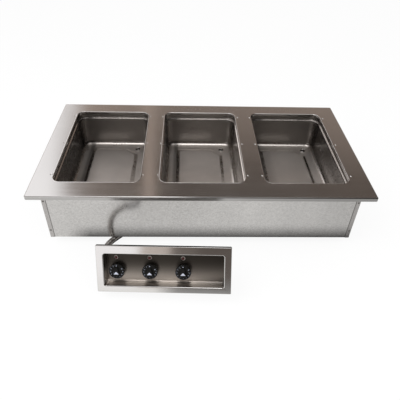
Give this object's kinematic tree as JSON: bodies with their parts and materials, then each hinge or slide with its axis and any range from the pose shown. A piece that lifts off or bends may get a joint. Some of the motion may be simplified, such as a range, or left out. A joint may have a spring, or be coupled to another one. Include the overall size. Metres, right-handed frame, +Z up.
{
  "type": "steam table unit",
  "caption": "Drop-in hot-food table: a wide flanged steel deck with deep rectangular heated wells over a boxed casing, with a remote recessed knob panel on a short flexible conduit.",
  "frame": {"origin": "centre of the casing's flat underside", "axes": "+X along the row of wells toward the unit's right-hand end, +Y toward the rear, +Z up through the deck"},
  "size_m": [1.2192, 0.9076, 0.2672],
  "materials": {
    "stainless_brushed": "brushed",
    "stainless_drawn": "drawn, satin",
    "stainless_satin": "satin",
    "galvanised": "galvanised, faint spangle",
    "phenolic_black": "semi-gloss moulded",
    "lens_red": "glossy translucent",
    "chrome_plate": "polished",
    "brass": "turned",
    "rubber_seal": "matte",
    "glass_wool": "fibrous blanket",
    "element_sheath": "heat-darkened sheath",
    "zinc_plate": "zinc plated",
    "switch_body": "moulded",
    "wire_insulation": "matte"
  },
  "bodies": {
    "unit": {"casing_bottom_pan": "galvanised", "casing_end_left": "galvanised", "casing_end_right": "galvanised", "casing_front": "galvanised", "casing_rear": "galvanised", "conduit_elbow_box": "zinc_plate", "conduit_elbow_casing": "zinc_plate", "control_bezel": "stainless_brushed", "control_box_cover": "galvanised", "cover_nut_1": "zinc_plate", "cover_nut_2": "zinc_plate", "drain_fitting_1": "stainless_satin", "drain_fitting_2": "stainless_satin", "drain_fitting_3": "stainless_satin", "drain_gasket_1": "rubber_seal", "drain_gasket_2": "rubber_seal", "drain_gasket_3": "rubber_seal", "drain_nut_1": "brass", "drain_nut_2": "brass", "drain_nut_3": "brass", "element_strap_1": "zinc_plate", "element_strap_2": "zinc_plate", "element_strap_3": "zinc_plate", "flex_conduit": "zinc_plate", "heating_element_1": "element_sheath", "heating_element_2": "element_sheath", "heating_element_3": "element_sheath", "insulation_bottom": "glass_wool", "insulation_wrap": "glass_wool", "lamp_lens_1": "lens_red", "lamp_lens_2": "lens_red", "lamp_lens_3": "lens_red", "lamp_ring_1": "chrome_plate", "lamp_ring_2": "chrome_plate", "lamp_ring_3": "chrome_plate", "rivet_1": "stainless_satin", "rivet_2": "stainless_satin", "rivet_3": "stainless_satin", "rivet_4": "stainless_satin", "rivet_5": "stainless_satin", "rivet_6": "stainless_satin", "rivet_7": "stainless_satin", "rivet_8": "stainless_satin", "terminal_block": "phenolic_black", "thermostat_1": "switch_body", "thermostat_2": "switch_body", "thermostat_3": "switch_body", "top_plate": "stainless_brushed", "well_1": "stainless_drawn", "well_2": "stainless_drawn", "well_3": "stainless_drawn", "wire_bundle": "wire_insulation"},
    "control_1": {"knob_1": "phenolic_black", "knob_shaft_1": "zinc_plate"},
    "control_2": {"knob_2": "phenolic_black", "knob_shaft_2": "zinc_plate"},
    "control_3": {"knob_3": "phenolic_black", "knob_shaft_3": "zinc_plate"}
  },
  "joints": [
    {"name": "knob_1_turn", "type": "hinge", "parent": "unit", "child": "control_1", "pos_m": [-0.29069, -0.49906, 0.04995], "axis": [0.076, 0.9007, -0.4278], "range_deg": [0, 300]},
    {"name": "knob_2_turn", "type": "hinge", "parent": "unit", "child": "control_2", "pos_m": [-0.17941, -0.50615, 0.05478], "axis": [0.076, 0.9007, -0.4278], "range_deg": [0, 300]},
    {"name": "knob_3_turn", "type": "hinge", "parent": "unit", "child": "control_3", "pos_m": [-0.06814, -0.51325, 0.0596], "axis": [0.076, 0.9007, -0.4278], "range_deg": [0, 300]}
  ]
}
